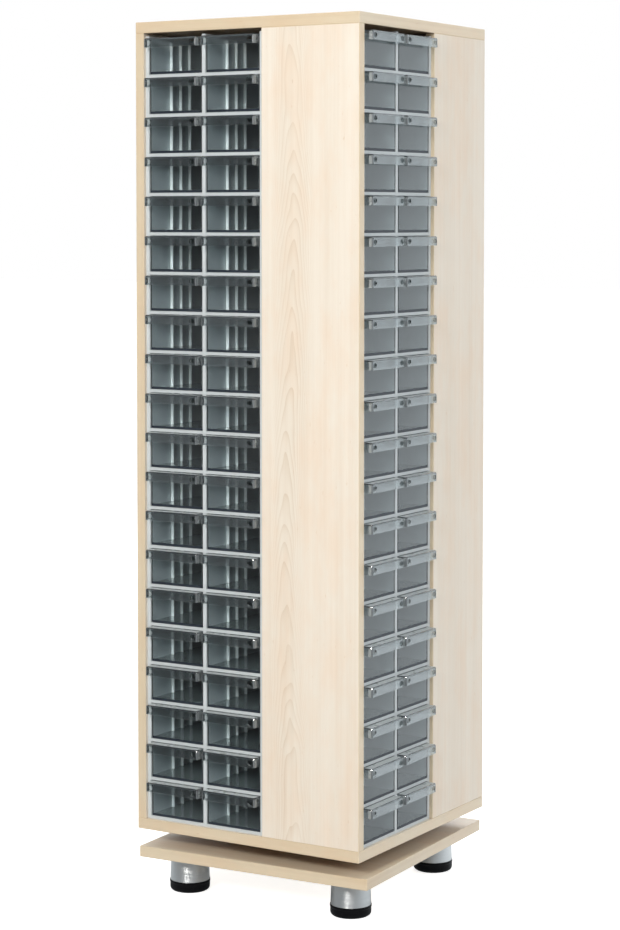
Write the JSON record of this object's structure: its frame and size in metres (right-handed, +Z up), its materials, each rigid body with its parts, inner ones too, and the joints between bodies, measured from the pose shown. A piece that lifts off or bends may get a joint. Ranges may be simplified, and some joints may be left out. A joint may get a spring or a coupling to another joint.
{
  "type": "revolving drawer cabinet",
  "caption": "Tall square revolving cabinet in light wood, with banks of smoke-clear drawers on every side, on a turntable and a base board with short round legs.",
  "frame": {"origin": "on the turning axis at floor level, in the middle between the feet", "axes": "+Z up along the turning axis; -Y is the front side of the cabinet and +X its right side, both square to the case; the base stands turned a few degrees about +Z from the case"},
  "size_m": [0.441, 0.441, 1.424],
  "materials": {
    "wood_board": "satin light maple laminate",
    "rack_plastic": "light grey, smooth",
    "drawer_plastic": "smoke-clear, glossy",
    "leg_metal": "satin bright metal",
    "foot_plastic": "black, satin",
    "turntable_steel": "zinc plated"
  },
  "bodies": {
    "base": {"base_board": "wood_board", "leg_sleeves": "leg_metal", "leg_feet": "foot_plastic", "turntable_lower_plate": "turntable_steel", "turntable_hub": "turntable_steel"},
    "cabinet": {"turntable_ring": "turntable_steel", "turntable_upper_plate": "turntable_steel", "turntable_spacer": "wood_board", "bottom_board": "wood_board", "top_board": "wood_board", "panel_front": "wood_board", "partition_front": "wood_board", "rack_front": "rack_plastic", "shut_drawers_front": "drawer_plastic", "panel_right": "wood_board", "partition_right": "wood_board", "rack_right": "rack_plastic", "shut_drawers_right": "drawer_plastic", "panel_back": "wood_board", "partition_back": "wood_board", "rack_back": "rack_plastic", "shut_drawers_back": "drawer_plastic", "panel_left": "wood_board", "partition_left": "wood_board", "rack_left": "rack_plastic", "shut_drawers_left": "drawer_plastic"},
    "drawer_front_left_03": {"drawer_front_left_03": "drawer_plastic"},
    "drawer_front_left_08": {"drawer_front_left_08": "drawer_plastic"},
    "drawer_front_left_13": {"drawer_front_left_13": "drawer_plastic"},
    "drawer_front_left_18": {"drawer_front_left_18": "drawer_plastic"},
    "drawer_front_right_03": {"drawer_front_right_03": "drawer_plastic"},
    "drawer_front_right_08": {"drawer_front_right_08": "drawer_plastic"},
    "drawer_front_right_13": {"drawer_front_right_13": "drawer_plastic"},
    "drawer_front_right_18": {"drawer_front_right_18": "drawer_plastic"},
    "drawer_right_left_03": {"drawer_right_left_03": "drawer_plastic"},
    "drawer_right_left_08": {"drawer_right_left_08": "drawer_plastic"},
    "drawer_right_left_13": {"drawer_right_left_13": "drawer_plastic"},
    "drawer_right_left_18": {"drawer_right_left_18": "drawer_plastic"},
    "drawer_right_right_03": {"drawer_right_right_03": "drawer_plastic"},
    "drawer_right_right_08": {"drawer_right_right_08": "drawer_plastic"},
    "drawer_right_right_13": {"drawer_right_right_13": "drawer_plastic"},
    "drawer_right_right_18": {"drawer_right_right_18": "drawer_plastic"},
    "drawer_back_left_03": {"drawer_back_left_03": "drawer_plastic"},
    "drawer_back_left_08": {"drawer_back_left_08": "drawer_plastic"},
    "drawer_back_left_13": {"drawer_back_left_13": "drawer_plastic"},
    "drawer_back_left_18": {"drawer_back_left_18": "drawer_plastic"},
    "drawer_back_right_03": {"drawer_back_right_03": "drawer_plastic"},
    "drawer_back_right_08": {"drawer_back_right_08": "drawer_plastic"},
    "drawer_back_right_13": {"drawer_back_right_13": "drawer_plastic"},
    "drawer_back_right_18": {"drawer_back_right_18": "drawer_plastic"},
    "drawer_left_left_03": {"drawer_left_left_03": "drawer_plastic"},
    "drawer_left_left_08": {"drawer_left_left_08": "drawer_plastic"},
    "drawer_left_left_13": {"drawer_left_left_13": "drawer_plastic"},
    "drawer_left_left_18": {"drawer_left_left_18": "drawer_plastic"},
    "drawer_left_right_03": {"drawer_left_right_03": "drawer_plastic"},
    "drawer_left_right_08": {"drawer_left_right_08": "drawer_plastic"},
    "drawer_left_right_13": {"drawer_left_right_13": "drawer_plastic"},
    "drawer_left_right_18": {"drawer_left_right_18": "drawer_plastic"}
  },
  "joints": [
    {"name": "cabinet_turn", "type": "hinge", "parent": "base", "child": "cabinet", "pos_m": [0, 0, 0.081], "axis": [0, 0, 1], "continuous": true},
    {"name": "drawer_front_left_03_slide", "type": "slide", "parent": "cabinet", "child": "drawer_front_left_03", "axis": [0, -1, 0], "range_m": [0, 0.125]},
    {"name": "drawer_front_left_08_slide", "type": "slide", "parent": "cabinet", "child": "drawer_front_left_08", "axis": [0, -1, 0], "range_m": [0, 0.125]},
    {"name": "drawer_front_left_13_slide", "type": "slide", "parent": "cabinet", "child": "drawer_front_left_13", "axis": [0, -1, 0], "range_m": [0, 0.125]},
    {"name": "drawer_front_left_18_slide", "type": "slide", "parent": "cabinet", "child": "drawer_front_left_18", "axis": [0, -1, 0], "range_m": [0, 0.125]},
    {"name": "drawer_front_right_03_slide", "type": "slide", "parent": "cabinet", "child": "drawer_front_right_03", "axis": [0, -1, 0], "range_m": [0, 0.125]},
    {"name": "drawer_front_right_08_slide", "type": "slide", "parent": "cabinet", "child": "drawer_front_right_08", "axis": [0, -1, 0], "range_m": [0, 0.125]},
    {"name": "drawer_front_right_13_slide", "type": "slide", "parent": "cabinet", "child": "drawer_front_right_13", "axis": [0, -1, 0], "range_m": [0, 0.125]},
    {"name": "drawer_front_right_18_slide", "type": "slide", "parent": "cabinet", "child": "drawer_front_right_18", "axis": [0, -1, 0], "range_m": [0, 0.125]},
    {"name": "drawer_right_left_03_slide", "type": "slide", "parent": "cabinet", "child": "drawer_right_left_03", "axis": [1, 0, 0], "range_m": [0, 0.125]},
    {"name": "drawer_right_left_08_slide", "type": "slide", "parent": "cabinet", "child": "drawer_right_left_08", "axis": [1, 0, 0], "range_m": [0, 0.125]},
    {"name": "drawer_right_left_13_slide", "type": "slide", "parent": "cabinet", "child": "drawer_right_left_13", "axis": [1, 0, 0], "range_m": [0, 0.125]},
    {"name": "drawer_right_left_18_slide", "type": "slide", "parent": "cabinet", "child": "drawer_right_left_18", "axis": [1, 0, 0], "range_m": [0, 0.125]},
    {"name": "drawer_right_right_03_slide", "type": "slide", "parent": "cabinet", "child": "drawer_right_right_03", "axis": [1, 0, 0], "range_m": [0, 0.125]},
    {"name": "drawer_right_right_08_slide", "type": "slide", "parent": "cabinet", "child": "drawer_right_right_08", "axis": [1, 0, 0], "range_m": [0, 0.125]},
    {"name": "drawer_right_right_13_slide", "type": "slide", "parent": "cabinet", "child": "drawer_right_right_13", "axis": [1, 0, 0], "range_m": [0, 0.125]},
    {"name": "drawer_right_right_18_slide", "type": "slide", "parent": "cabinet", "child": "drawer_right_right_18", "axis": [1, 0, 0], "range_m": [0, 0.125]},
    {"name": "drawer_back_left_03_slide", "type": "slide", "parent": "cabinet", "child": "drawer_back_left_03", "axis": [0, 1, 0], "range_m": [0, 0.125]},
    {"name": "drawer_back_left_08_slide", "type": "slide", "parent": "cabinet", "child": "drawer_back_left_08", "axis": [0, 1, 0], "range_m": [0, 0.125]},
    {"name": "drawer_back_left_13_slide", "type": "slide", "parent": "cabinet", "child": "drawer_back_left_13", "axis": [0, 1, 0], "range_m": [0, 0.125]},
    {"name": "drawer_back_left_18_slide", "type": "slide", "parent": "cabinet", "child": "drawer_back_left_18", "axis": [0, 1, 0], "range_m": [0, 0.125]},
    {"name": "drawer_back_right_03_slide", "type": "slide", "parent": "cabinet", "child": "drawer_back_right_03", "axis": [0, 1, 0], "range_m": [0, 0.125]},
    {"name": "drawer_back_right_08_slide", "type": "slide", "parent": "cabinet", "child": "drawer_back_right_08", "axis": [0, 1, 0], "range_m": [0, 0.125]},
    {"name": "drawer_back_right_13_slide", "type": "slide", "parent": "cabinet", "child": "drawer_back_right_13", "axis": [0, 1, 0], "range_m": [0, 0.125]},
    {"name": "drawer_back_right_18_slide", "type": "slide", "parent": "cabinet", "child": "drawer_back_right_18", "axis": [0, 1, 0], "range_m": [0, 0.125]},
    {"name": "drawer_left_left_03_slide", "type": "slide", "parent": "cabinet", "child": "drawer_left_left_03", "axis": [-1, 0, 0], "range_m": [0, 0.125]},
    {"name": "drawer_left_left_08_slide", "type": "slide", "parent": "cabinet", "child": "drawer_left_left_08", "axis": [-1, 0, 0], "range_m": [0, 0.125]},
    {"name": "drawer_left_left_13_slide", "type": "slide", "parent": "cabinet", "child": "drawer_left_left_13", "axis": [-1, 0, 0], "range_m": [0, 0.125]},
    {"name": "drawer_left_left_18_slide", "type": "slide", "parent": "cabinet", "child": "drawer_left_left_18", "axis": [-1, 0, 0], "range_m": [0, 0.125]},
    {"name": "drawer_left_right_03_slide", "type": "slide", "parent": "cabinet", "child": "drawer_left_right_03", "axis": [-1, 0, 0], "range_m": [0, 0.125]},
    {"name": "drawer_left_right_08_slide", "type": "slide", "parent": "cabinet", "child": "drawer_left_right_08", "axis": [-1, 0, 0], "range_m": [0, 0.125]},
    {"name": "drawer_left_right_13_slide", "type": "slide", "parent": "cabinet", "child": "drawer_left_right_13", "axis": [-1, 0, 0], "range_m": [0, 0.125]},
    {"name": "drawer_left_right_18_slide", "type": "slide", "parent": "cabinet", "child": "drawer_left_right_18", "axis": [-1, 0, 0], "range_m": [0, 0.125]}
  ]
}
